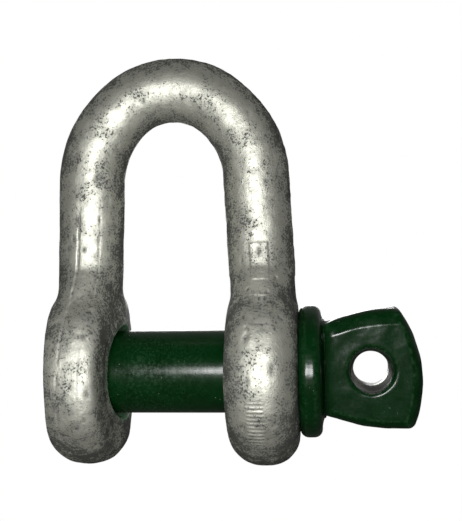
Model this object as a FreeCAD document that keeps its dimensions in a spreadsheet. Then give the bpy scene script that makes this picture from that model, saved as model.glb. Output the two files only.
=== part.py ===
import FreeCAD, Part
import math
import os

import Sketcher

# Dee shackle with a screw collar pin, 22 mm pin size, in millimetres.
#
# The frame: the origin is the middle of the pin's axis, halfway between the two eyes. +X runs along the
# pin from the tapped eye to the pin's head, and +Z runs up the legs to the crown.
#
#   shackle_body  one forging: a round bar bent to a D, with an eye at each end. The -X eye is tapped and
#                 the +X eye has a plain hole.
#   screw_pin     one forging: threaded tip, plain shank, round collar and a flat head with a hole.
#   pin_core      a plug inside the shank, cut from the same forging. It slides with the pin but does not
#                 turn, so that the screw's travel and its turn can be two joints.

# Driving dimensions, in millimetres and degrees.
SIZES = [
    ("pin_dia", 22.0),            # shank of the pin
    ("inside_width", 28.5),       # between the faces of the eyes
    ("inside_length", 55.8),      # from the shank to the inside of the crown
    ("bar_dia", 17.4),            # round bar of the legs and the crown
    ("leg_foot_side", 23.7),      # where a leg's centre line meets its eye, from the middle
    ("leg_foot_up", 13.5),        # the same, from the pin's axis
    ("leg_lean", 2.2),            # how far each leg leans in towards the crown, degrees
    ("shoulder_bend", 27.0),      # radius of the centre line between leg and crown
    ("crown_bend", 20.3),         # radius of the centre line over the crown
    ("eye_dia", 48.7),
    ("eye_thick", 18.4),          # at the die line
    ("eye_round", 8.3),           # radius of the eye's rounded rim
    ("eye_draft", 9.3),           # slope of the tapped eye's faces away from the die line, degrees
    ("eye_land", 5.0),            # how wide its faces stay flat, across the die line
    ("neck_top", 29.0),           # where the shoulders over the eyes start, above the pin's axis
    ("neck_low", 15.0),           # where they end, inside the eyes
    ("neck_thick", 16.4),         # along the pin, a little inside the bar's surface
    ("neck_slim", 16.6),          # how wide they start, across the eyes
    ("neck_wide", 36.0),          # how wide they are there, across the eyes
    ("plain_bore", 24.0),
    ("bore_break", 0.8),          # chamfer at the ends of the plain bore
    ("mouth_dia", 25.0),          # counterbore of the tapped eye, on the inside
    ("mouth_deep", 2.4),
    ("thread_pitch", 2.5),
    ("thread_crest", 21.8),       # outer diameter of the pin's thread
    ("thread_root", 18.9),
    ("tapping_dia", 19.4),        # crest diameter of the eye's thread
    ("tapped_root", 22.2),
    ("pitch_dia", 20.376),        # where ridge and groove are equally wide
    ("flank_gap", 0.08),          # play of each flank, along the pin
    ("cutter_clear", 0.15),       # how far a thread cutter stands clear of the metal it starts from
    ("undercut_dia", 18.7),
    ("undercut_long", 2.5),
    ("shank_deep", 2.2),          # how far the shank's full size reaches into the tapped eye
    ("tip_break", 1.6),           # chamfer at the tip
    ("collar_dia", 34.5),
    ("collar_thick", 5.8),
    ("collar_round", 2.2),
    ("head_long", 25.6),          # from the collar to the end of the head
    ("head_rise", 0.85),          # how far the head sits above the pin's axis
    ("head_neck", 21.6),          # the head's height where its flanks start, inside the collar
    ("flank_long", 20.0),         # how far along the pin a curved flank runs
    ("head_wide", 31.0),          # the head's height at its end corners
    ("head_corner", 2.3),         # radius of its end corners
    ("top_corner", 5.8),          # how far the upper end corner falls short of the head's end
    ("low_corner", 2.5),          # the same for the lower one
    ("end_bend", 32.0),           # radius of the bowed end
    ("head_thick", 12.0),
    ("head_round", 2.0),
    ("head_root", 0.5),           # blend between collar and head
    ("head_roll", 2.0),           # how far the tightened head is turned, degrees
    ("lanyard_at", 12.6),         # the head's hole, from the collar
    ("lanyard_dia", 9.0),
    ("lanyard_mouth", 11.0),
    ("lanyard_taper", 2.6),       # depth of the hole's tapered ends
    ("lanyard_round", 1.4),
    ("core_dia", 6.0),
    ("core_long", 24.0),
    ("core_gap", 0.05),
    ("cut_past", 1.0),            # how far a cut reaches past the metal
]

SLACK = 1.0e-6
CENTRE_POINT = 3      # the sketcher's number for the centre of an arc or a circle

doc = FreeCAD.newDocument("shackle")
sheet = doc.addObject("Spreadsheet::Sheet", "Sizes")
for row, (alias, value) in enumerate(SIZES, start=1):
    sheet.set("A%d" % row, alias)
    sheet.set("B%d" % row, str(value))
    sheet.setAlias("B%d" % row, alias)
doc.recompute()


# Places along the pin, as expressions that the sketches are bound to.
EYE_IN = "Sizes.inside_width / 2"
EYE_OUT = "(Sizes.inside_width / 2 + Sizes.eye_thick)"
COLLAR_OUT = "(Sizes.inside_width / 2 + Sizes.eye_thick + Sizes.collar_thick)"
HEAD_END = "(Sizes.inside_width / 2 + Sizes.eye_thick + Sizes.collar_thick + Sizes.head_long)"
LANYARD_AT = "(Sizes.inside_width / 2 + Sizes.eye_thick + Sizes.collar_thick + Sizes.lanyard_at)"
CROWN_TOP = "(Sizes.pin_dia / 2 + Sizes.inside_length + Sizes.bar_dia / 2)"
TOP_CORNER = "(%s - Sizes.top_corner)" % HEAD_END
LOW_CORNER = "(%s - Sizes.low_corner)" % HEAD_END
HEAD_NECK = "(%s - Sizes.collar_thick / 4)" % COLLAR_OUT
HEAD_BELLY = "(%s + Sizes.flank_long)" % HEAD_NECK
FLANK_RISE = "((Sizes.head_wide - Sizes.head_neck) / 2)"
FLANK_BEND = "((Sizes.flank_long ^ 2 + %s ^ 2) / (2 * %s))" % (FLANK_RISE, FLANK_RISE)
SHANK_END = "(-Sizes.inside_width / 2 - Sizes.shank_deep)"
SHANK_STEP = "((Sizes.pin_dia - Sizes.undercut_dia) / 2)"


def size(expression):
    """The value of an expression over the sheet, such as size('Sizes.pin_dia / 2')."""
    value = sheet.evalExpression(expression)
    return float(getattr(value, "Value", value))


def origin_plane(body, role):
    """One of a body's own origin planes or axes, found by its role."""
    return next(feature for feature in body.Origin.OriginFeatures if feature.Role == role)


def new_body(label):
    """An empty body whose label names its file."""
    body = doc.addObject("PartDesign::Body", label)
    body.Label = label
    doc.recompute()
    return body


def new_sketch(body, name, role):
    """A sketch on one of the body's origin planes."""
    sketch = body.newObject("Sketcher::SketchObject", name)
    sketch.AttachmentSupport = (origin_plane(body, role), [""])
    sketch.MapMode = "FlatFace"
    return sketch


def constrain(sketch, name, expression, kind, *where):
    """A named sketch dimension that is bound to an expression over the sheet."""
    index = sketch.addConstraint(Sketcher.Constraint(kind, *where, size(expression)))
    sketch.renameConstraint(index, name)
    sketch.setExpression("Constraints." + name, expression)


def arc(start, end, radius):
    """The short arc between two points, turning left, in a sketch's plane."""
    chord = end.sub(start)
    rise = math.sqrt(radius * radius - chord.Length ** 2 / 4)
    left = FreeCAD.Vector(-chord.y, chord.x, 0).normalize()
    centre = (start + end) * 0.5 + left * rise
    first = math.atan2(start.y - centre.y, start.x - centre.x)
    last = math.atan2(end.y - centre.y, end.x - centre.x)
    return Part.ArcOfCircle(Part.Circle(centre, FreeCAD.Vector(0, 0, 1), radius), first, last)


def outline(sketch, corners):
    """A closed outline through corners, each (x, y) or (x, y, radius) as expressions over the sheet.

    A radius makes the side that follows the corner an arc that turns left. A leading minus on it makes
    the arc turn right.
    """
    name = "side%d_" % sketch.GeometryCount
    places = [FreeCAD.Vector(size(corner[0]), size(corner[1]), 0) for corner in corners]
    sides = []
    for number, corner in enumerate(corners):
        start = places[number]
        end = places[(number + 1) % len(corners)]
        turn = corner[2] if len(corner) == 3 else None
        if turn is None:
            index = sketch.addGeometry(Part.LineSegment(start, end), False)
            sides.append((index, 1, 2))
        elif turn.startswith("-"):
            index = sketch.addGeometry(arc(end, start, size(turn[1:])), False)
            sides.append((index, 2, 1))
        else:
            index = sketch.addGeometry(arc(start, end, size(turn)), False)
            sides.append((index, 1, 2))
        if turn is not None:
            constrain(sketch, "%sr%d" % (name, number), turn.lstrip("-"), "Radius", index)
    for number, (index, first, last) in enumerate(sides):
        following, its_first, _ = sides[(number + 1) % len(sides)]
        sketch.addConstraint(Sketcher.Constraint("Coincident", index, last, following, its_first))
        constrain(sketch, "%sx%d" % (name, number), corners[number][0], "DistanceX", -1, 1, index, first)
        constrain(sketch, "%sy%d" % (name, number), corners[number][1], "DistanceY", -1, 1, index, first)


def roll_sketch(sketch):
    """Turn a sketch about the pin's axis to where the tightened head stands."""
    across = FreeCAD.Rotation(FreeCAD.Vector(1, 0, 0), size("Sizes.head_roll"))
    sketch.AttachmentOffset = FreeCAD.Placement(FreeCAD.Vector(0, 0, 0), across)
    sketch.setExpression("AttachmentOffset.Rotation.Angle", "Sizes.head_roll")


def unrolled(place):
    """A point of the head as it lies before the head is rolled."""
    return FreeCAD.Rotation(FreeCAD.Vector(1, 0, 0), -size("Sizes.head_roll")).multVec(place)


def turned(body, kind, name, sketch, axis="H_Axis"):
    """A full Revolution or Groove of a sketch about one of the sketch's axes."""
    feature = body.newObject("PartDesign::" + kind, name)
    feature.Profile = sketch
    feature.ReferenceAxis = (sketch, [axis])
    feature.Angle = 360
    doc.recompute()
    return feature


def rounded(body, name, base, test, expression):
    """A Fillet on every edge of the base feature that passes a test."""
    picked = ["Edge%d" % number for number, edge in enumerate(base.Shape.Edges, start=1) if test(edge)]
    if not picked:
        raise RuntimeError(name + " found no edge")
    feature = body.newObject("PartDesign::Fillet", name)
    feature.Base = (base, picked)
    feature.setExpression("Radius", expression)
    doc.recompute()
    return feature


def thread_groove(body, name, start, length, outer, inner, crest_half):
    """A right-handed V groove cut along the pin's axis, from an x place and for a length.

    outer and inner are the radii of its mouth and its bottom, in either order, and crest_half is half its
    width at the pitch diameter. A thread's flanks stand 30 degrees off square.
    """
    sketch = new_sketch(body, name + "Profile", "XZ_Plane")

    def half(radius):
        return "(%s + %s * tan(30 deg))" % (crest_half, radius)

    mouth = "%s - Sizes.pitch_dia / 2" % outer
    bottom = "%s - Sizes.pitch_dia / 2" % inner
    if size(outer) < size(inner):
        mouth = "Sizes.pitch_dia / 2 - %s" % outer
        bottom = "Sizes.pitch_dia / 2 - %s" % inner
    outline(sketch, [
        ("%s - %s" % (start, half("(%s)" % mouth)), outer),
        ("%s - %s" % (start, half("(%s)" % bottom)), inner),
        ("%s + %s" % (start, half("(%s)" % bottom)), inner),
        ("%s + %s" % (start, half("(%s)" % mouth)), outer),
    ])
    groove = body.newObject("PartDesign::SubtractiveHelix", name)
    groove.Profile = sketch
    groove.ReferenceAxis = (sketch, ["H_Axis"])
    groove.Mode = "pitch-height-angle"
    groove.setExpression("Pitch", "Sizes.thread_pitch")
    groove.setExpression("Height", length)
    groove.LeftHanded = False
    doc.recompute()
    return groove


def bar_path(body):
    """The bar's centre line: two leaning legs, two wide shoulder arcs and a tighter crown arc."""
    sketch = new_sketch(body, "BarPath", "XZ_Plane")
    lean = math.radians(size("Sizes.leg_lean"))
    along = FreeCAD.Vector(-math.sin(lean), math.cos(lean), 0)
    outward = FreeCAD.Vector(math.cos(lean), math.sin(lean), 0)
    foot = FreeCAD.Vector(size("Sizes.leg_foot_side"), size("Sizes.leg_foot_up"), 0)
    shoulder = size("Sizes.shoulder_bend")
    crown = size("Sizes.crown_bend")
    crown_centre = FreeCAD.Vector(0, size(CROWN_TOP) - crown, 0)
    # The shoulder arc touches the leg, so its centre lies this far up a line beside the leg.
    beside = foot - outward * shoulder
    reach = crown_centre.sub(beside)
    level = reach.dot(along)
    apart = reach.dot(outward)
    climb = level - math.sqrt((shoulder - crown) ** 2 - apart ** 2)
    shoulder_centre = beside + along * climb
    spring = foot + along * climb
    join = shoulder_centre + crown_centre.sub(shoulder_centre).normalize() * shoulder

    def opposite(place):
        return FreeCAD.Vector(-place.x, place.y, 0)

    sketch.addGeometry([
        Part.LineSegment(foot, spring),
        arc(spring, join, shoulder),
        arc(join, opposite(join), crown),
        arc(opposite(join), opposite(spring), shoulder),
        Part.LineSegment(opposite(spring), opposite(foot)),
    ], False)
    for number in range(4):
        sketch.addConstraint(Sketcher.Constraint("Tangent", number, 2, number + 1, 1))
    sketch.addConstraint(Sketcher.Constraint("PointOnObject", 2, CENTRE_POINT, -2))
    constrain(sketch, "foot_side", "Sizes.leg_foot_side", "DistanceX", -1, 1, 0, 1)
    constrain(sketch, "foot_up", "Sizes.leg_foot_up", "DistanceY", -1, 1, 0, 1)
    constrain(sketch, "far_foot_side", "-Sizes.leg_foot_side", "DistanceX", -1, 1, 4, 2)
    constrain(sketch, "far_foot_up", "Sizes.leg_foot_up", "DistanceY", -1, 1, 4, 2)
    constrain(sketch, "shoulder_bend", "Sizes.shoulder_bend", "Radius", 1)
    constrain(sketch, "far_shoulder_bend", "Sizes.shoulder_bend", "Radius", 3)
    constrain(sketch, "crown_bend", "Sizes.crown_bend", "Radius", 2)
    constrain(sketch, "crown_height", CROWN_TOP + " - Sizes.crown_bend", "DistanceY", -1, 1, 2, 3)
    return sketch


def neck_section(body, name, up, wide, side):
    """An ellipse around a leg's centre line at a height: its thickness lies along the pin."""
    sketch = new_sketch(body, name, "XY_Plane")
    sketch.setExpression("AttachmentOffset.Base.z", up)
    lean_in = "(%s - Sizes.leg_foot_up) * tan(Sizes.leg_lean * 1 deg)" % up
    across = "%s * (Sizes.leg_foot_side - %s)" % (side, lean_in)
    middle = FreeCAD.Vector(size(across), 0, 0)
    wide_end = middle + FreeCAD.Vector(0, size(wide + " / 2"), 0)
    thick_end = middle + FreeCAD.Vector(size("Sizes.neck_thick / 2"), 0, 0)
    sketch.addGeometry(Part.Ellipse(wide_end, thick_end, middle), False)
    sketch.exposeInternalGeometry(0)
    constrain(sketch, "across", across, "DistanceX", -1, 1, 0, 3)
    sketch.addConstraint(Sketcher.Constraint("PointOnObject", 0, CENTRE_POINT, -1))
    sketch.addConstraint(Sketcher.Constraint("Vertical", 1))
    constrain(sketch, "wide", wide, "Distance", 1)
    constrain(sketch, "thick", "Sizes.neck_thick", "Distance", 2)
    return sketch


def neck(body, name, side):
    """A shoulder that swells from inside the round leg to nearly the width of its eye."""
    top = neck_section(body, name + "Top", "Sizes.neck_top", "Sizes.neck_slim", side)
    low = neck_section(body, name + "Low", "Sizes.neck_low", "Sizes.neck_wide", side)
    doc.recompute()
    loft = body.newObject("PartDesign::AdditiveLoft", name)
    loft.Profile = top
    loft.Sections = [low]
    doc.recompute()


def eye(body, name, side):
    """A round eye with a rounded rim, on the left (-1) or the right (1)."""
    half = new_sketch(body, name + "Half", "XZ_Plane")
    rim = "(Sizes.eye_dia / 2)"
    flat = "(Sizes.eye_dia / 2 - Sizes.eye_round)"
    bend = "Sizes.eye_round" if side == "1" else "-Sizes.eye_round"
    outline(half, [
        (side + " * " + EYE_IN, "0"),
        (side + " * " + EYE_OUT, "0"),
        (side + " * " + EYE_OUT, flat, bend),
        (side + " * (%s - Sizes.eye_round)" % EYE_OUT, rim),
        (side + " * (%s + Sizes.eye_round)" % EYE_IN, rim, bend),
        (side + " * " + EYE_IN, flat),
    ])
    doc.recompute()
    turned(body, "Revolution", name, half)


def draft(body):
    """Slopes the tapped eye's two faces away from the die line, in front and behind."""
    sketch = new_sketch(body, "DraftCuts", "XY_Plane")
    reach = "(Sizes.eye_dia / 2 + Sizes.cut_past)"
    land = "Sizes.eye_land / 2"
    slope = "((%s - %s) * tan(Sizes.eye_draft * 1 deg))" % (reach, land)
    for sign in ("", "-"):
        outline(sketch, [
            ("-" + EYE_IN, sign + land),
            ("-%s - %s" % (EYE_IN, slope), sign + reach),
            ("-%s + Sizes.cut_past" % EYE_IN, sign + reach),
            ("-%s + Sizes.cut_past" % EYE_IN, sign + land),
        ])
        outline(sketch, [
            ("-" + EYE_OUT, sign + land),
            ("-%s + %s" % (EYE_OUT, slope), sign + reach),
            ("-%s - Sizes.cut_past" % EYE_OUT, sign + reach),
            ("-%s - Sizes.cut_past" % EYE_OUT, sign + land),
        ])
    doc.recompute()
    cut = body.newObject("PartDesign::Pocket", "Draft")
    cut.Profile = sketch
    cut.SideType = "Symmetric"
    cut.setExpression("Length", "Sizes.eye_dia + 2 * Sizes.cut_past")
    doc.recompute()


def shackle_body():
    """The forging: two eyes, the bar between them, a shoulder over each eye and the two bores."""
    body = new_body("shackle_body")
    eye(body, "TappedEye", "-1")
    draft(body)
    path = bar_path(body)
    section = new_sketch(body, "BarSection", "XY_Plane")
    section.setExpression("AttachmentOffset.Base.z", "Sizes.leg_foot_up")
    centre = FreeCAD.Vector(size("Sizes.leg_foot_side"), 0, 0)
    section.addGeometry(Part.Circle(centre, FreeCAD.Vector(0, 0, 1), size("Sizes.bar_dia / 2")), False)
    constrain(section, "side", "Sizes.leg_foot_side", "DistanceX", -1, 1, 0, 3)
    section.addConstraint(Sketcher.Constraint("PointOnObject", 0, CENTRE_POINT, -1))
    constrain(section, "radius", "Sizes.bar_dia / 2", "Radius", 0)
    doc.recompute()
    bar = body.newObject("PartDesign::AdditivePipe", "Bar")
    bar.Profile = section
    bar.Spine = (path, ["Edge%d" % number for number in range(1, 6)])
    doc.recompute()
    eye(body, "PlainEye", "1")
    neck(body, "TappedNeck", "-1")
    neck(body, "PlainNeck", "1")

    bores = new_sketch(body, "BoreHalves", "XZ_Plane")
    plain = "(Sizes.plain_bore / 2)"
    chamfered = "(Sizes.plain_bore / 2 + Sizes.bore_break)"
    outline(bores, [
        (EYE_IN, "0"),
        (EYE_OUT, "0"),
        (EYE_OUT, chamfered),
        (EYE_OUT + " - Sizes.bore_break", plain),
        (EYE_IN + " + Sizes.bore_break", plain),
        (EYE_IN, chamfered),
    ])
    tapped = "(Sizes.tapping_dia / 2)"
    opened = "(Sizes.tapping_dia / 2 + Sizes.tip_break)"
    mouth_end = "-" + EYE_IN + " - Sizes.mouth_deep"
    outline(bores, [
        ("-" + EYE_IN, "0"),
        ("-" + EYE_IN, "Sizes.mouth_dia / 2"),
        (mouth_end, "Sizes.mouth_dia / 2"),
        (mouth_end + " - (Sizes.mouth_dia - Sizes.tapping_dia) / 2", tapped),
        ("-" + EYE_OUT + " + Sizes.tip_break", tapped),
        ("-" + EYE_OUT, opened),
        ("-" + EYE_OUT, "0"),
    ])
    doc.recompute()
    turned(body, "Groove", "Bores", bores)
    # Both thread grooves start and end in the open. They start half a pitch apart, so that each one's
    # ridge lies in the other's groove.
    start = "(-%s - 2 * Sizes.thread_pitch)" % EYE_OUT
    thread_groove(body, "EyeThread", start, "Sizes.eye_thick + 3 * Sizes.thread_pitch",
                  "(Sizes.tapping_dia / 2 - Sizes.cutter_clear)", "(Sizes.tapped_root / 2)",
                  "Sizes.thread_pitch / 4")
    return body


def head_plate(body):
    """The flat head before it joins the collar: a fishtail plate with rounded corners and rims."""
    sketch = new_sketch(body, "HeadOutline", "XZ_Plane")
    roll_sketch(sketch)
    outline(sketch, [
        (HEAD_NECK, "Sizes.head_rise - Sizes.head_neck / 2", FLANK_BEND),
        (HEAD_BELLY, "Sizes.head_rise - Sizes.head_wide / 2"),
        (LOW_CORNER, "Sizes.head_rise - Sizes.head_wide / 2", "Sizes.end_bend"),
        (TOP_CORNER, "Sizes.head_rise + Sizes.head_wide / 2"),
        (HEAD_BELLY, "Sizes.head_rise + Sizes.head_wide / 2", FLANK_BEND),
        (HEAD_NECK, "Sizes.head_rise + Sizes.head_neck / 2"),
    ])
    doc.recompute()
    plate = body.newObject("PartDesign::Pad", "Head")
    plate.Profile = sketch
    plate.SideType = "Symmetric"
    plate.setExpression("Length", "Sizes.head_thick")
    doc.recompute()
    corner_sides = (size(TOP_CORNER), size(LOW_CORNER))
    half_thick = size("Sizes.head_thick / 2")

    def crosses_corner(edge):
        places = edge.discretize(5)
        return any(all(abs(place.x - side) < SLACK for place in places) for side in corner_sides)

    def rims_a_face(edge):
        places = [unrolled(place) for place in edge.discretize(5)]
        return all(abs(abs(place.y) - half_thick) < SLACK for place in places)

    corners = rounded(body, "HeadCorners", plate, crosses_corner, "Sizes.head_corner")
    return rounded(body, "HeadRims", corners, rims_a_face, "Sizes.head_round")


def screw_pin():
    """The pin: threaded tip, shank, collar and rolled head, with a closed hollow for its core."""
    body = new_body("screw_pin")
    head_plate(body)
    half = new_sketch(body, "PinHalf", "XZ_Plane")
    crest = "(Sizes.thread_crest / 2)"
    under = "(Sizes.undercut_dia / 2)"
    shank = "(Sizes.pin_dia / 2)"
    collar = "(Sizes.collar_dia / 2)"
    under_end = SHANK_END + " - " + SHANK_STEP
    outline(half, [
        ("-" + EYE_OUT, "0"),
        (COLLAR_OUT, "0"),
        (COLLAR_OUT, collar + " - Sizes.collar_round", "Sizes.collar_round"),
        (COLLAR_OUT + " - Sizes.collar_round", collar),
        (EYE_OUT + " + Sizes.collar_round", collar, "Sizes.collar_round"),
        (EYE_OUT, collar + " - Sizes.collar_round"),
        (EYE_OUT, shank),
        (SHANK_END, shank),
        (under_end, under),
        (under_end + " - Sizes.undercut_long", under),
        (under_end + " - Sizes.undercut_long", crest),
        ("-" + EYE_OUT + " + Sizes.tip_break", crest),
        ("-" + EYE_OUT, crest + " - Sizes.tip_break"),
    ])
    doc.recompute()
    stem = turned(body, "Revolution", "Stem", half)
    collar_face = size(COLLAR_OUT)
    flat_reach = size("Sizes.collar_dia / 2 - Sizes.collar_round") - SLACK

    def meets_collar(edge):
        places = edge.discretize(5)
        flat = all(abs(place.x - collar_face) < SLACK for place in places)
        return flat and all(math.hypot(place.y, place.z) < flat_reach for place in places)

    rounded(body, "HeadRoot", stem, meets_collar, "Sizes.head_root")
    start = "(-%s - 1.5 * Sizes.thread_pitch)" % EYE_OUT
    length = "(%s - Sizes.thread_pitch / 2 - %s)" % (under_end, start)
    thread_groove(body, "PinThread", start, length, "(Sizes.thread_crest / 2 + Sizes.cutter_clear)",
                  "(Sizes.thread_root / 2)", "(Sizes.thread_pitch / 4 + Sizes.flank_gap)")

    hole = new_sketch(body, "LanyardHalf", "XY_Plane")
    roll_sketch(hole)
    hole.setExpression("AttachmentOffset.Base.x", LANYARD_AT)
    hole.setExpression("AttachmentOffset.Base.y", "-Sizes.head_rise * sin(Sizes.head_roll * 1 deg)")
    hole.setExpression("AttachmentOffset.Base.z", "Sizes.head_rise * cos(Sizes.head_roll * 1 deg)")
    face = "Sizes.head_thick / 2"
    past = "(Sizes.head_thick / 2 + Sizes.cut_past)"
    rim = "(Sizes.lanyard_mouth / 2 + Sizes.lanyard_round)"
    mouth = "(Sizes.lanyard_mouth / 2)"
    throat = "(Sizes.lanyard_dia / 2)"
    mouth_in = "(Sizes.head_thick / 2 - Sizes.lanyard_round)"
    throat_in = "(Sizes.head_thick / 2 - Sizes.lanyard_round - Sizes.lanyard_taper)"
    outline(hole, [
        ("0", past),
        ("0", "-" + past),
        (rim, "-" + past),
        (rim, "-" + face, "-Sizes.lanyard_round"),
        (mouth, "-" + mouth_in),
        (throat, "-" + throat_in),
        (throat, throat_in),
        (mouth, mouth_in, "-Sizes.lanyard_round"),
        (rim, face),
        (rim, past),
    ])
    doc.recompute()
    turned(body, "Groove", "LanyardHole", hole, "V_Axis")

    hollow = new_sketch(body, "CoreHalf", "XZ_Plane")
    end = "(Sizes.core_long / 2 + Sizes.core_gap)"
    wall = "Sizes.core_dia / 2 + Sizes.core_gap"
    outline(hollow, [("-" + end, "0"), (end, "0"), (end, wall), ("-" + end, wall)])
    doc.recompute()
    turned(body, "Groove", "CoreHollow", hollow)
    return body


def core():
    """The plug inside the shank, which slides with the pin without turning."""
    plug = doc.addObject("Part::Cylinder", "pin_core")
    plug.Label = "pin_core"
    plug.setExpression("Radius", "Sizes.core_dia / 2")
    plug.setExpression("Height", "Sizes.core_long")
    plug.setExpression("Placement.Base.x", "-Sizes.core_long / 2")
    plug.Placement.Rotation = FreeCAD.Rotation(FreeCAD.Vector(0, 1, 0), 90)
    doc.recompute()
    return plug


def check(pieces):
    """Stop on any failed feature or bad shape."""
    for thing in doc.Objects:
        if "Invalid" in thing.State or "Error" in thing.State:
            raise RuntimeError("%s failed: %s" % (thing.Name, thing.State))
    for piece in pieces:
        if piece.Shape.isNull() or not piece.Shape.isValid():
            raise RuntimeError(piece.Label + " has no valid shape")


pieces = [shackle_body(), screw_pin(), core()]
check(pieces)
os.makedirs("parts", exist_ok=True)
for piece in pieces:
    piece.Shape.exportStep("parts/%s.step" % piece.Label)
    box = piece.Shape.BoundBox
    print(piece.Label, "volume %.0f mm3" % piece.Shape.Volume, "solids", len(piece.Shape.Solids),
          "x %.2f..%.2f" % (box.XMin, box.XMax), "y %.2f..%.2f" % (box.YMin, box.YMax),
          "z %.2f..%.2f" % (box.ZMin, box.ZMax))
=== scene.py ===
"""Looks of the dee shackle: a galvanised forging and a green painted screw pin.

Every length in the code is in millimetres and turned into metres where a mesh is made.
The frame is the CAD part's: X runs along the pin, Z up the legs, and -Y faces the viewer.
"""

import math

import bmesh
import bpy
import numpy as np
from mathutils import Matrix, Vector, noise
from mathutils.bvhtree import BVHTree


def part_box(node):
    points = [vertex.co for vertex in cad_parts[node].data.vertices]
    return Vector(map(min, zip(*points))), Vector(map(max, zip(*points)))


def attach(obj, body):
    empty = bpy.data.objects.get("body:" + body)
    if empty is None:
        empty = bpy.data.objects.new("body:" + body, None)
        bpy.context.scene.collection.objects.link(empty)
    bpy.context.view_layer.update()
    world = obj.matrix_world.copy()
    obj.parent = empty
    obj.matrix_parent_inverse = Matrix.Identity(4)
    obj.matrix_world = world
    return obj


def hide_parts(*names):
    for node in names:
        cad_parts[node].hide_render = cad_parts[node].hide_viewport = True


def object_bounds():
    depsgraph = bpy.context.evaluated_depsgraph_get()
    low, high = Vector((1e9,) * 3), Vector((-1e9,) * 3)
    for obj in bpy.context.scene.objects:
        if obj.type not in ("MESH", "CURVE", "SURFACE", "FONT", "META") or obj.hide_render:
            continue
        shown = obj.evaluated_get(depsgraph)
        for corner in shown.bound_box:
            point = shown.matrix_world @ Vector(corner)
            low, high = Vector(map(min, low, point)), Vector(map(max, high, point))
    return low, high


MM = 0.001
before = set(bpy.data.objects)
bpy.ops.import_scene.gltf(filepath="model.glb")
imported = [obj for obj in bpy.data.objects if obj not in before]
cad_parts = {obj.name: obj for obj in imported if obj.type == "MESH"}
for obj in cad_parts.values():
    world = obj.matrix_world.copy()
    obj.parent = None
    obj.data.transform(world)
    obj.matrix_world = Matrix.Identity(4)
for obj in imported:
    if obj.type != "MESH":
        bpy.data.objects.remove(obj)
cad_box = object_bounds()

# Places on the part, from its drawing.
EYE_IN = 14.25          # inner face of an eye, from the middle
EYE_OUT = 32.65         # its outer face
EYE_MID = (EYE_IN + EYE_OUT) / 2
EYE_RADIUS = 24.35
BORE_ZONE = 13.2        # everything nearer to the pin's axis than this is machined
SHOULDER = -16.45       # where the painted shank ends and the threaded tip starts
COLLAR_FACE = 38.45     # the side of the collar that the head grows from
HOLE_AT = 51.05         # centre of the lanyard hole
HEAD_ROLL = math.radians(2)
HEAD_RISE = 0.85        # the head's middle, above the pin's axis
HEAD_HALF = 15.5        # half its height at its widest
HEAD_BELLY = 57.0       # where it gets that wide
HEAD_END = 64.05
FLANK_BEND = 44.9       # radius of its curved flanks
END_BEND = 32.0         # radius of its curved end
END_LEAN = 0.055        # how far the end draws back for each millimetre up the head
LEG_LOW, LEG_HIGH = 40, 52      # heights between which the legs are straight

# How the visible meshes are made.
FORGING_CELL = 0.5      # size of the forging's faces
PIN_CELL = 0.34         # and of the painted pin's
STUB = 0.7              # how far the threaded tip reaches into the painted shank
WALL_ZONE = 5.15        # radius of the zone whose faces are the lanyard hole's bare wall


# ---------------------------------------------------------------- mesh tools

def solid_copy(node):
    """A closed copy of a CAD node's mesh, in millimetres."""
    solid = bmesh.new()
    solid.from_mesh(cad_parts[node].data)
    bmesh.ops.scale(solid, vec=(1 / MM,) * 3, verts=solid.verts)
    bmesh.ops.remove_doubles(solid, verts=solid.verts, dist=0.0005)
    return solid


def without_core(solid):
    """Takes away the sealed cavity that the pin's core sits in."""
    past_end, past_side = 1, 0.6
    low, high = (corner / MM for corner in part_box("pin_core"))
    inside = [v for v in solid.verts if low.x - past_end < v.co.x < high.x + past_end
              and math.hypot(v.co.y, v.co.z) < high.z + past_side]
    bmesh.ops.delete(solid, geom=inside, context="VERTS")


def cut(solid, x, keep_right):
    """Cuts a solid square to the pin at x, and returns the open edge."""
    both = solid.verts[:] + solid.edges[:] + solid.faces[:]
    done = bmesh.ops.bisect_plane(solid, geom=both, dist=1e-5, plane_co=(x, 0, 0), plane_no=(1, 0, 0),
                                  clear_inner=keep_right, clear_outer=not keep_right)
    return [e for e in done["geom_cut"] if isinstance(e, bmesh.types.BMEdge)]


def remeshed(solid, cell):
    """The solid as even small faces, still in millimetres."""
    mesh = bpy.data.meshes.new("rough")
    solid.to_mesh(mesh)
    thing = bpy.data.objects.new("rough", mesh)
    bpy.context.scene.collection.objects.link(thing)
    modifier = thing.modifiers.new("even", "REMESH")
    modifier.mode = "VOXEL"
    modifier.voxel_size = cell
    modifier.use_smooth_shade = True
    seen = thing.evaluated_get(bpy.context.evaluated_depsgraph_get())
    even = bmesh.new()
    even.from_mesh(seen.data)
    bpy.data.objects.remove(thing)
    return even


def finer(solid, wanted):
    """Splits each face whose corners all lie in a zone."""
    solid.verts.ensure_lookup_table()
    places = np.array([v.co for v in solid.verts])
    chosen = wanted(places)
    edges = {e for f in solid.faces if all(chosen[v.index] for v in f.verts) for e in f.edges}
    bmesh.ops.subdivide_edges(solid, edges=list(edges), cuts=1, use_grid_fill=True)


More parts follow.
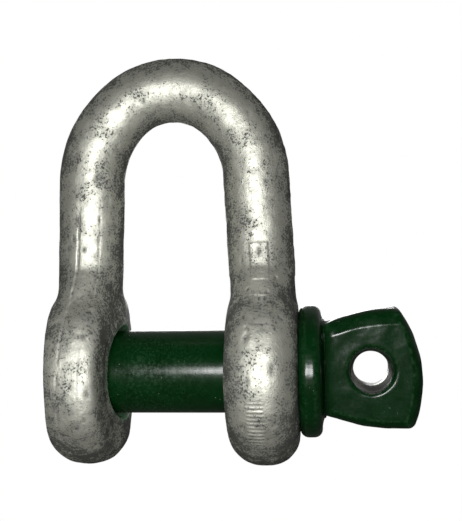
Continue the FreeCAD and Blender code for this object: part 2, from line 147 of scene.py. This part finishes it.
class Skin:
    """A mesh's points in millimetres, with what the sculpting below needs.

    The array called at is only changed in place, so x, y and z taken from at.T follow every change.
    """

    def __init__(self, solid, name):
        self.mesh = bpy.data.meshes.new(name)
        solid.to_mesh(self.mesh)
        solid.free()
        self.mesh.polygons.foreach_set("use_smooth", [True] * len(self.mesh.polygons))
        count = len(self.mesh.vertices)
        self.at = np.empty(count * 3)
        self.mesh.vertices.foreach_get("co", self.at)
        self.at = self.at.reshape(-1, 3)
        pairs = np.empty(len(self.mesh.edges) * 2, dtype=np.int32)
        self.mesh.edges.foreach_get("vertices", pairs)
        self.pairs = pairs.reshape(-1, 2)
        self.friends = np.bincount(self.pairs.ravel(), minlength=count)[:, None]

    def average(self, values):
        """Each point's mean over the points beside it."""
        a, b = self.pairs.T
        count = len(self.at)
        total = [np.bincount(a, column[b], count) + np.bincount(b, column[a], count)
                 for column in values.T]
        return np.stack(total, 1) / self.friends

    def smooth(self, weight, rounds):
        """Relaxes the surface where weight is above nought."""
        for _ in range(rounds):
            self.at += weight[:, None] * 0.5 * (self.average(self.at) - self.at)

    def fill(self, weight, rounds):
        """Fills hollows and inside corners as a fillet does, and leaves the rest alone."""
        before, out = self.at.copy(), self.normals()
        self.smooth(weight, rounds)
        rise = ((self.at - before) * out).sum(1)
        self.at[:] = before + np.maximum(rise, 0)[:, None] * out

    def normals(self):
        self.store()
        out = np.empty(len(self.at) * 3, dtype=np.float32)
        self.mesh.vertex_normals.foreach_get("vector", out)
        return out.reshape(-1, 3).astype(float)

    def solid(self):
        """The mesh as it is now, for more splitting."""
        self.store()
        solid = bmesh.new()
        solid.from_mesh(self.mesh)
        return solid

    def store(self, unit=1.0):
        self.mesh.vertices.foreach_set("co", (self.at * unit).astype(np.float32).ravel())
        self.mesh.update()

    def onto(self, tree, chosen):
        """Puts the chosen points on the exact surface again."""
        for i in np.flatnonzero(chosen):
            self.at[i] = tree.find_nearest(Vector(self.at[i]))[0]

    def convexity(self, rounds):
        """How far each point stands out from its neighbourhood: positive on edges, negative in corners."""
        soft = self.at.copy()
        for _ in range(rounds):
            soft += 0.5 * (self.average(soft) - soft)
        return ((self.at - soft) * self.normals()).sum(1)

    def paint(self, name, values):
        """Stores one number for each point, for the materials."""
        layer = self.mesh.attributes.new(name, "FLOAT", "POINT")
        layer.data.foreach_set("value", values.astype(np.float32))


def ramp(values, low, high):
    """0 below low, 1 above high, smooth between."""
    t = np.clip((values - low) / (high - low), 0, 1)
    return t * t * (3 - 2 * t)


def even_skin(solid, cell, name):
    """Small even faces on the solid's own surface, and that surface as a tree to come back to."""
    exact = BVHTree.FromBMesh(solid)
    rough = remeshed(solid, cell)
    solid.free()
    skin = Skin(rough, name)
    skin.smooth(np.full(len(skin.at), 0.6), rounds=3)
    skin.onto(exact, np.full(len(skin.at), True))
    return skin, exact


def relief(places, cell, octaves, seed):
    """Smooth random height, about -1 to 1, over bumps about one cell wide."""
    shift = Vector((seed * 7.3, seed * 3.1, seed * 5.7))
    out = np.empty(len(places))
    for i, place in enumerate(places):
        out[i] = noise.fractal(Vector(place) / cell + shift, 1.0, 2.0, octaves)
    return out


def box_mask(a, b, half_a, half_b, soft):
    """1 inside a rectangle with soft edges."""
    inside = np.minimum(half_a - np.abs(a), half_b - np.abs(b))
    return ramp(inside, -soft / 2, soft / 2)


def finish_piece(skin, name, body, node, slot, *materials):
    """Makes the piece, kept inside the CAD part's own box."""
    low, high = (np.array(corner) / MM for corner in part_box(node))
    np.clip(skin.at, low, high, out=skin.at)
    skin.store(MM)
    piece = bpy.data.objects.new(name, skin.mesh)
    bpy.context.scene.collection.objects.link(piece)
    for material in materials:
        skin.mesh.materials.append(material)
    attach(piece, body)
    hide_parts(node)
    return piece


# ----------------------------------------------------------------- materials

def set_inputs(node, **values):
    """Sets a node's inputs by name, with From_Min for the one called From Min."""
    for name, value in values.items():
        node.inputs[name.replace("_", " ")].default_value = value


class Graph:
    """A short way to write a material's nodes."""

    def __init__(self, name):
        self.material = bpy.data.materials.new(name)
        self.material.use_nodes = True
        self.tree = self.material.node_tree
        self.shader = self.tree.nodes["Principled BSDF"]
        self.place = self.add("ShaderNodeTexCoord").outputs["Object"]

    def add(self, kind, **settings):
        node = self.tree.nodes.new(kind)
        for key, value in settings.items():
            setattr(node, key, value)
        return node

    def link(self, source, target):
        self.tree.links.new(source, target)

    def feed(self, socket, value):
        if isinstance(value, bpy.types.NodeSocket):
            self.link(value, socket)
        else:
            socket.default_value = value

    def give(self, name, value):
        """Feeds one of the shader's own inputs."""
        self.feed(self.shader.inputs[name], value)

    def cells(self, cell, offset, stretch=(1, 1, 1)):
        """The place on the object, counted in cells of a size in millimetres."""
        mapping = self.add("ShaderNodeMapping")
        self.link(self.place, mapping.inputs["Vector"])
        set_inputs(mapping, Location=offset, Scale=[s / (cell * MM) for s in stretch])
        return mapping.outputs[0]

    def noise(self, cell, detail=3.0, roughness=0.55, offset=(0, 0, 0), stretch=(1, 1, 1)):
        """Noise about one cell wide, in millimetres."""
        place = self.cells(cell, offset, stretch)
        node = self.add("ShaderNodeTexNoise")
        self.link(place, node.inputs["Vector"])
        set_inputs(node, Scale=1.0, Detail=detail, Roughness=roughness)
        return node.outputs["Fac"]

    def spots(self, cell, offset=(0, 0, 0)):
        """Distance to the nearest of a scatter of points, in cells."""
        place = self.cells(cell, offset)
        node = self.add("ShaderNodeTexVoronoi")
        self.link(place, node.inputs["Vector"])
        set_inputs(node, Scale=1.0)
        return node.outputs["Distance"]

    def painted(self, name):
        return self.add("ShaderNodeAttribute", attribute_name=name).outputs["Fac"]

    def math(self, operation, a, b=0.0, clamp=False):
        node = self.add("ShaderNodeMath", operation=operation, use_clamp=clamp)
        self.feed(node.inputs[0], a)
        self.feed(node.inputs[1], b)
        return node.outputs[0]

    def step(self, value, low, high, bottom=0.0, top=1.0):
        """From bottom to top as the value goes from low to high, smooth between."""
        node = self.add("ShaderNodeMapRange", interpolation_type="SMOOTHSTEP")
        self.feed(node.inputs["Value"], value)
        set_inputs(node, From_Min=low, From_Max=high, To_Min=bottom, To_Max=top)
        return node.outputs["Result"]

    def mix(self, share, a, b):
        node = self.add("ShaderNodeMix", data_type="RGBA")
        self.feed(node.inputs["Factor"], share)
        self.feed(node.inputs["A"], a)
        self.feed(node.inputs["B"], b)
        return node.outputs["Result"]

    def bump(self, height, depth, strength=1.0, under=None):
        """A normal from a height, with the depth in millimetres."""
        node = self.add("ShaderNodeBump")
        set_inputs(node, Strength=strength, Distance=depth * MM)
        self.feed(node.inputs["Height"], height)
        if under is not None:
            self.link(under, node.inputs["Normal"])
        return node.outputs["Normal"]


def zinc_material():
    """Hot-dip galvanised forging: satin warm grey, dark specks, blotches, grime in the pits, painted shade
    in the grooves and troughs, and painted shade where the surface turns away from the viewer.
    """
    pale, dull, rubbed = (0.68, 0.68, 0.60, 1), (0.46, 0.462, 0.41, 1), (0.80, 0.80, 0.75, 1)
    dirt_and_shade, stray_paint = (0.045, 0.048, 0.042, 1), (0.12, 0.42, 0.17, 1)
    g = Graph("zinc")
    blotch = g.noise(9.0, 3.0, 0.6)
    patch = g.noise(3.2, 3.0, 0.6, offset=(5, 1, 2))
    grain = g.noise(0.52, 2.5, 0.62, offset=(1, 8, 3))
    fine = g.noise(0.3, 1.0, 0.5, offset=(4, 4, 9))
    cover = g.math("ADD", g.math("MULTIPLY", blotch, 0.5), g.math("MULTIPLY", patch, 0.5))
    # Painted shade and painted highlight: the dark specks show more where the surface turns away from the
    # viewer and fewer where it faces the viewer.
    facing = g.add("ShaderNodeLayerWeight")
    set_inputs(facing, Blend=0.4)
    aside = g.step(facing.outputs["Facing"], 0.05, 0.6, -0.075, 0.12)
    speck_field = g.math("ADD", grain, g.math("MULTIPLY", g.math("SUBTRACT", cover, 0.5), 0.95))
    specks_and_shade = g.step(g.math("ADD", speck_field, aside), 0.49, 0.61)
    # Dirt in some dents and painted shade in the grooves, the troughs and round the pads, broken up by the
    # grain.
    grime_and_shade = g.math("MULTIPLY", g.painted("grime_and_shade"), g.step(grain, 0.3, 0.6, 0.45, 1.0), clamp=True)
    dark = g.math("MAXIMUM", g.math("MULTIPLY", specks_and_shade, 0.9), grime_and_shade)
    clean = g.mix(g.step(cover, 0.36, 0.62), pale, dull)
    bright = g.mix(g.math("MULTIPLY", g.painted("edge"), 0.5, clamp=True), clean, rubbed)
    colour = g.mix(dark, bright, dirt_and_shade)
    scraped = g.math("MULTIPLY", g.painted("scrape"), g.step(grain, 0.46, 0.56), clamp=True)
    g.give("Base Color", g.mix(scraped, colour, stray_paint))
    covered = g.math("MULTIPLY", g.math("MAXIMUM", dark, scraped), 0.7)
    g.give("Metallic", g.math("SUBTRACT", 0.92, covered))
    rough = g.step(cover, 0.35, 0.65, 0.57, 0.64)
    g.give("Roughness", g.math("ADD", rough, g.math("MULTIPLY", dark, 0.12)))
    lumps = g.bump(patch, 0.5, 0.16)
    skin = g.bump(grain, 0.15, 0.5, under=lumps)
    g.give("Normal", g.bump(fine, 0.05, 0.5, under=skin))
    return g.material


def paint_material():
    """Thick dark green gloss paint: dust, fine scuffs, and a paler line on edges that is partly worn paint
    and partly a painted highlight.
    """
    deep, less_deep = (0.0005, 0.0160, 0.0022, 1), (0.0009, 0.0210, 0.0036, 1)
    scuffed, thin_and_highlit, dusty = (0.06, 0.22, 0.08, 1), (0.16, 0.34, 0.17, 1), (0.35, 0.42, 0.33, 1)
    g = Graph("green_enamel")
    cloud = g.noise(6.0, 3.0, 0.6)
    dust = g.step(g.spots(1.15, offset=(2, 7, 1)), 0.05, 0.13, 1.0, 0.0)
    dust = g.math("MULTIPLY", dust, g.step(g.noise(4.0, 2.0, offset=(9, 2, 5)), 0.56, 0.68))
    scratchy = g.step(g.noise(0.8, 3.0, 0.65, offset=(3, 3, 1)), 0.42, 0.66)
    scuff = g.math("MULTIPLY", g.painted("scuff"), scratchy)
    body = g.mix(g.step(cloud, 0.35, 0.65), deep, less_deep)
    hazy = g.mix(g.math("MULTIPLY", scuff, 0.07, clamp=True), body, scuffed)
    patchy = g.step(g.noise(1.4, 3.0, 0.6, offset=(6, 1, 8)), 0.40, 0.62)
    # Painted highlight and wear: a paler green line along the convex edges, broken up by noise.
    worn_and_highlit = g.math("MULTIPLY", g.painted("edge"), patchy, clamp=True)
    edged = g.mix(g.math("MULTIPLY", worn_and_highlit, 0.09), hazy, thin_and_highlit)
    g.give("Base Color", g.mix(g.math("MULTIPLY", dust, 0.5), edged, dusty))
    rough = g.step(cloud, 0.3, 0.7, 0.17, 0.24)
    rougher = g.math("MULTIPLY", g.math("MAXIMUM", scuff, dust), 0.12)
    g.give("Roughness", g.math("ADD", rough, rougher))
    g.give("Specular IOR Level", 0.3)
    streak = g.noise(1.6, 2.0, 0.5, offset=(1, 5, 5), stretch=(1, 0.25, 0.25))
    g.give("Normal", g.bump(streak, 0.2, 0.10))
    return g.material


def steel_material():
    """Machined steel with a thin film of oil: fine turning marks and grey patches."""
    clean, dull, stain = (0.50, 0.50, 0.47, 1), (0.30, 0.30, 0.28, 1), (0.10, 0.10, 0.09, 1)
    g = Graph("turned_steel")
    turning = g.noise(0.22, 2.0, 0.6, stretch=(1, 0.05, 0.05))
    patch = g.noise(3.0, 3.0, 0.6, offset=(4, 2, 2))
    grain = g.noise(0.5, 2.0, 0.6, offset=(8, 2, 6))
    colour = g.mix(g.step(patch, 0.36, 0.64), clean, dull)
    g.give("Base Color", g.mix(g.step(grain, 0.52, 0.68, 0.0, 0.55), colour, stain))
    g.give("Metallic", 0.95)
    g.give("Roughness", g.step(patch, 0.3, 0.7, 0.30, 0.46))
    g.give("Normal", g.bump(turning, 0.04, 0.5, under=g.bump(grain, 0.05, 0.4)))
    return g.material


# ------------------------------------------------------------- the forging

def across_leg(skin, side):
    """How far each point lies to the right of the centre line of the left leg (-1) or the right one (1)."""
    x, _, z = skin.at.T
    straight = (np.sign(x) == side) & (z > LEG_LOW) & (z < LEG_HIGH)
    slope, start = np.polyfit(z[straight], x[straight], 1)
    return x - (slope * z + start)


def forge_marks(skin, grime_and_shade):
    """What forging left on the surface, as a height along the normal in millimetres."""
    x, y, z = skin.at.T
    out = skin.normals()
    front = ramp(-out[:, 1], 0.2, 0.5)
    front_left, front_right = front * (x < 0), front * (x > 0)
    from_axis = np.hypot(y, z)
    forged = ramp(from_axis, BORE_ZONE, BORE_ZONE + 2)
    on_eye = from_axis < EYE_RADIUS + 0.6

    waves = relief(skin.at, 11.0, octaves=2, seed=1)
    lumps = relief(skin.at, 2.4, octaves=3, seed=2)
    height = forged * (0.16 * waves + 0.055 * lumps - 0.05)

    # The dies met in the plane y = 0, and a trimmed seam is left along the outline.
    half_wide, high = 1.5, 0.20
    outline = ramp(np.where(on_eye, np.hypot(out[:, 1], out[:, 2]), 1.0), 0.6, 0.9)
    ragged = np.clip(0.6 + 0.5 * relief(skin.at, 2.2, octaves=2, seed=3), 0, 1)
    near = ramp(half_wide - np.abs(y + 0.3 * waves), 0.0, 0.8)
    height += high * (forged * outline * near * ragged)

    # A long flat with a line down each side, on the front of the left leg and faintly down its eye.
    middle, half_wide, deep = 2.0, 2.6, 0.12
    across = across_leg(skin, -1)
    leg = front_left * ramp(z, 16, 20) * (1 - ramp(z, 41, 47))
    height -= deep * leg * ramp(half_wide - np.abs(across - middle), 0.0, 0.5)
    half_wide = 0.42
    leg_and_eye = front_left * (1 - ramp(z, 41, 48)) * ramp(z, -17, -12)
    broken = np.clip(0.55 + 0.8 * relief(skin.at, 3.0, octaves=2, seed=4), 0, 1)
    faint = np.where(z > 17, 1.0, 0.45)
    for middle, deep in ((-0.6, 0.42), (4.6, 0.18)):
        line = leg_and_eye * ramp(half_wide - np.abs(across - middle), 0.0, 0.3) * broken * faint
        height -= deep * line
        # Painted shade: each groove is also darkened in colour.
        grime_and_shade += 0.8 * line

    # Two plain pads on the front of the right leg, one raised and one sunk, darkened in colour round their
    # edges and inside the sunk one by painted shade and dirt.
    edge = 0.45
    across = across_leg(skin, 1)
    for aside, up, half_wide, half_tall, rise, dirt_and_shade in ((-0.3, 29.2, 2.3, 4.6, 0.15, 0.0),
                                                        (-0.6, 17.4, 2.4, 3.4, -0.13, 0.2)):
        pad = front_right * box_mask(across - aside, z - up, half_wide, half_tall, 0.5)
        wider = front_right * box_mask(across - aside, z - up, half_wide + edge, half_tall + edge, 0.4)
        height += rise * pad
        grime_and_shade += 0.3 * np.clip(wider - pad, 0, 1) + dirt_and_shade * pad

    # A ladder of small plain ridges low on the front of the right eye, at even steps of angle.
    middle, middle_turn, half_wide, half_tall = EYE_MID - 0.9, 24, 2.0, 6.2
    apart, rim_per_degree, high = 2.6, 0.43, 0.06
    turn = np.degrees(np.arctan2(-z, -y))
    along_rim = (turn - middle_turn) * rim_per_degree
    ladder = (x > 0) * on_eye * box_mask(x - middle, along_rim, half_wide, half_tall, 0.7)
    rungs = np.cos(np.radians(turn / apart * 360))
    height += high * ladder * rungs
    # Painted shade: darker in colour in the troughs between the ridges.
    grime_and_shade += ladder * ramp(-rungs, 0.2, 1.0) * 0.3
    return height


def pock_marks(skin, grime_and_shade, count, seed):
    """Small dents, some of them with dirt in, scattered over the forging."""
    with_dirt = 0.55
    rng = np.random.default_rng(seed)
    height = np.zeros(len(skin.at))
    outside = np.flatnonzero(np.hypot(skin.at[:, 1], skin.at[:, 2]) > BORE_ZONE + 2)
    for centre in rng.choice(outside, count):
        wide = rng.uniform(0.35, 1.0)
        deep = rng.uniform(0.06, 0.22)
        long = rng.uniform(1.0, 2.2)
        apart = (skin.at - skin.at[centre]) / (wide, wide, wide * long)
        near = np.exp(-(apart ** 2).sum(1))
        height -= deep * near
        if rng.random() < with_dirt:
            grime_and_shade += 0.9 * near
    return height


def in_bores(places):
    x, y, z = places.T
    return (np.hypot(y, z) < BORE_ZONE) & (np.abs(x) > EYE_IN - 1)


def in_front_strips(places):
    """The strips down the front that the lines, the pads and the ladder lie in."""
    x, y, z = places.T
    return (y < 0) & (np.abs(np.abs(x) - EYE_MID) < 5) & (z > -20) & (z < 50)


def make_forging():
    skin, exact = even_skin(solid_copy("shackle_body"), FORGING_CELL, "rough_bow")
    x, y, z = skin.at.T
    neck = ramp(z, 10, 18) * (1 - ramp(z, 34, 42)) * ramp(np.hypot(y, z), BORE_ZONE + 1, BORE_ZONE + 4)
    skin.fill(neck, rounds=45)
    skin.smooth(neck, rounds=8)
    # The tapped eye's side towards the pin's shank is soft, and stands out a little at the front.
    stands_out = 1.1
    inner = (x < 0) * ramp(np.hypot(y, z), 14.5, 17) * (1 - ramp(z, 20, 24)) * ramp(x, -30, -24)
    skin.smooth(inner, rounds=40)
    skin.at[:, 0] += stands_out * inner * ramp(-y, 6, 24)
    # The bar was drawn a little thinner over the outside of the crown.
    thinner = 0.6
    out = skin.normals()
    skin.at -= (thinner * ramp(z, 58, 76) * np.clip(1.5 * out[:, 2], 0, 1))[:, None] * out

    split = skin.solid()
    finer(split, in_bores)
    finer(split, in_front_strips)
    skin = Skin(split, "forged_bow")
    x, y, z = skin.at.T
    skin.onto(exact, np.hypot(y, z) < BORE_ZONE)
    grime_and_shade = np.zeros(len(x))
    height = forge_marks(skin, grime_and_shade)
    height += pock_marks(skin, grime_and_shade, count=150, seed=11)
    skin.at += height[:, None] * skin.normals()
    # Painted shade in the grooves, troughs and round the pads, and dirt in some dents.
    skin.paint("grime_and_shade", np.clip(grime_and_shade, 0, 1))
    skin.paint("edge", ramp(skin.convexity(rounds=6), 0.02, 0.08))
    # The pin has rubbed some of its paint off on the rim of the tapped hole.
    ring = np.hypot(y, z)
    rim = ramp(ring, 10.8, 11.4) * (1 - ramp(ring, 12.6, 13.4))
    skin.paint("scrape", (x < 0) * rim * ramp(x, -17.4, -16.6))
    finish_piece(skin, "forged_bow", "forging", "shackle_body", "zinc_coated_forging", zinc_material())


# ----------------------------------------------------------------- the pin

def bevel_head(skin):
    """Leans the border of the head's front back: a broad band on top, narrow ones below and at the end."""
    top_band, low_band, end_band, deep = 3.7, 2.4, 2.6, 1.35
    x, y, z = skin.at.T
    up = z * math.cos(HEAD_ROLL) - y * math.sin(HEAD_ROLL) - HEAD_RISE
    before_belly = np.clip(HEAD_BELLY - x, 0, 30)
    half = HEAD_HALF - FLANK_BEND + np.sqrt(FLANK_BEND ** 2 - before_belly ** 2)
    end = HEAD_END - up ** 2 / (2 * END_BEND) - END_LEAN * up
    border = np.maximum.reduce([1 - (half - up) / top_band, 1 - (half + up) / low_band,
                                1 - (end - x) / end_band])
    on_head = ramp(x, COLLAR_FACE + 1, COLLAR_FACE + 4)
    skin.at[:, 1] += deep * np.clip(border, 0, 1) * on_head * ramp(-y, 0, 4)


def make_pin():
    paint, steel = paint_material(), steel_material()
    solid = solid_copy("screw_pin")
    without_core(solid)
    threaded = solid.copy()

    bmesh.ops.holes_fill(solid, edges=cut(solid, SHOULDER + 0.05, keep_right=True))
    skin, _ = even_skin(solid, PIN_CELL, "painted_pin")
    x, y, z = skin.at.T
    root = ramp(x, COLLAR_FACE - 0.6, COLLAR_FACE - 0.1) * (1 - ramp(x, COLLAR_FACE + 4, COLLAR_FACE + 6))
    skin.fill(root * (1 - ramp(np.hypot(y, z), 15.2, 16.0)), rounds=160)
    bevel_head(skin)
    # The paint lies in soft waves on the collar and the head, and even on the shank.
    on_head = ramp(x, COLLAR_FACE, COLLAR_FACE + 2)
    waves = 0.05 * relief(skin.at, 7.0, octaves=2, seed=21)
    waves += 0.02 * relief(skin.at, 1.5, octaves=2, seed=22) - 0.03
    shank = (x < EYE_OUT) | (np.hypot(y, z) < 10.9) & (x < COLLAR_FACE)
    height = np.where(shank, -0.02, waves) + 0.10 * on_head * relief(skin.at, 5.0, octaves=2, seed=23)
    skin.at += height[:, None] * skin.normals()
    # The convex edges, which the paint material makes paler: worn paint and a painted highlight.
    skin.paint("edge", ramp(skin.convexity(rounds=6), 0.015, 0.06))
    rub = np.exp(-((x + 8) / 6) ** 2) * 0.9 + 0.5 * ramp(x, -14.5, 0) * (1 - ramp(x, 6, 14))
    skin.paint("scuff", np.clip(rub, 0, 1) * ramp(-y, 2, 7) * (x < EYE_IN) + 0.25 * on_head)
    pin = finish_piece(skin, "painted_pin", "pin", "screw_pin", "green_paint", paint, steel)

    # The lanyard hole was drilled after painting, so its wall is bare. The zone that picks the wall
    # is centred on the pin's axis, HEAD_RISE below the hole's own centre.
    middle = np.empty(len(pin.data.polygons) * 3)
    pin.data.polygons.foreach_get("center", middle)
    x, y, z = (middle.reshape(-1, 3) / MM).T
    along = z * math.cos(HEAD_ROLL) - y * math.sin(HEAD_ROLL)
    wall = np.hypot(x - HOLE_AT, along) < WALL_ZONE
    pin.data.polygons.foreach_set("material_index", wall.astype(np.int32))

    # The threaded tip keeps its exact shape, with a stub that reaches inside the painted shank.
    rim = cut(threaded, SHOULDER - 0.1, keep_right=False)
    stub = bmesh.ops.extrude_edge_only(threaded, edges=rim)["geom"]
    ends = [v for v in stub if isinstance(v, bmesh.types.BMVert)]
    bmesh.ops.translate(threaded, vec=(STUB, 0, 0), verts=ends)
    bmesh.ops.holes_fill(threaded, edges=[e for e in stub if isinstance(e, bmesh.types.BMEdge)])
    bmesh.ops.recalc_face_normals(threaded, faces=threaded.faces)
    tip_skin = Skin(threaded, "pin_thread")
    tip = finish_piece(tip_skin, "pin_thread", "pin", "screw_pin", "bare_steel", steel)
    tip.data.set_sharp_from_angle(angle=math.radians(28))
    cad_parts["pin_core"].data.materials.clear()
    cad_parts["pin_core"].data.materials.append(steel)


# ---------------------------------------------------- camera, light and floor

def camera_axes(yaw, pitch, roll):
    """Right, up and back for a camera that looks along +Y before it turns."""
    ahead = Vector((-math.sin(yaw) * math.cos(pitch), math.cos(yaw) * math.cos(pitch), math.sin(pitch)))
    right = Vector((math.cos(yaw), math.sin(yaw), 0))
    up = right.cross(ahead)
    return (right * math.cos(roll) + up * math.sin(roll),
            up * math.cos(roll) - right * math.sin(roll), -ahead)


def make_camera():
    place = Vector((39.44, -210.01, 29.99)) * MM
    axes = camera_axes(yaw=math.radians(6.63), pitch=math.radians(-0.17), roll=math.radians(-1.24))
    data = bpy.data.cameras.new("camera")
    data.sensor_fit = "HORIZONTAL"
    data.sensor_width = 36
    data.lens = 61.93
    data.clip_start = 0.005
    camera = bpy.data.objects.new("camera", data)
    camera.matrix_world = Matrix.Translation(place) @ Matrix(axes).transposed().to_4x4()
    bpy.context.scene.collection.objects.link(camera)
    bpy.context.scene.camera = camera


def lamp(name, place, target, size, power):
    """A soft oval lamp, in millimetres and watts."""
    data = bpy.data.lights.new(name, "AREA")
    data.shape = "ELLIPSE"
    data.size = size[0] * MM
    data.size_y = size[1] * MM
    data.energy = power
    thing = bpy.data.objects.new(name, data)
    thing.location = Vector(place) * MM
    thing.rotation_euler = (Vector(target) - Vector(place)).to_track_quat("-Z", "Y").to_euler()
    bpy.context.scene.collection.objects.link(thing)


def white_to_camera(tree, lit, shown, output):
    """Shows one shader to the camera and lights the object with another."""
    ray = tree.nodes.new("ShaderNodeLightPath")
    mix = tree.nodes.new("ShaderNodeMixShader")
    tree.links.new(ray.outputs["Is Camera Ray"], mix.inputs["Fac"])
    tree.links.new(lit.outputs[0], mix.inputs[1])
    tree.links.new(shown.outputs[0], mix.inputs[2])
    tree.links.new(mix.outputs[0], output.inputs["Surface"])


def make_room():
    """A room that is light behind the object and dark behind the viewer."""
    world = bpy.data.worlds.new("studio")
    bpy.context.scene.world = world
    world.use_nodes = True
    tree = world.node_tree
    lit = tree.nodes["Background"]
    set_inputs(lit, Color=(0.98, 1.0, 0.97, 1))
    way = tree.nodes.new("ShaderNodeTexCoord")
    parts = tree.nodes.new("ShaderNodeSeparateXYZ")
    tree.links.new(way.outputs["Generated"], parts.inputs[0])
    fade = tree.nodes.new("ShaderNodeMapRange")
    set_inputs(fade, From_Min=-0.5, From_Max=0.8, To_Min=0.03, To_Max=0.21)
    tree.links.new(parts.outputs["Y"], fade.inputs["Value"])
    tree.links.new(fade.outputs["Result"], lit.inputs["Strength"])
    shown = tree.nodes.new("ShaderNodeBackground")
    set_inputs(shown, Color=(1, 1, 1, 1), Strength=1.0)
    white_to_camera(tree, lit, shown, tree.nodes["World Output"])


def make_floor():
    just_under = 0.2 * MM
    bpy.ops.mesh.primitive_plane_add(size=4, location=(0, 0, cad_box[0].z - just_under))
    floor = bpy.context.object
    floor.name = "floor"
    g = Graph("pale_floor")
    g.give("Base Color", g.mix(g.noise(60.0, 2.0), (0.15, 0.15, 0.14, 1), (0.17, 0.17, 0.16, 1)))
    g.give("Roughness", 0.9)
    shown = g.add("ShaderNodeEmission")
    set_inputs(shown, Strength=1.0)
    white_to_camera(g.tree, g.shader, shown, g.tree.nodes["Material Output"])
    floor.data.materials.append(g.material)


def make_studio():
    make_room()
    make_floor()
    middle = (0, 0, 28)
    lamp("flash", place=(12, -216, 33), target=middle, size=(90, 66), power=0.47)
    lamp("back_fill", place=(-60, 520, 60), target=middle, size=(360, 260), power=0.8)


bpy.context.scene.view_settings.view_transform = "Standard"
make_camera()
make_studio()
make_forging()
make_pin()
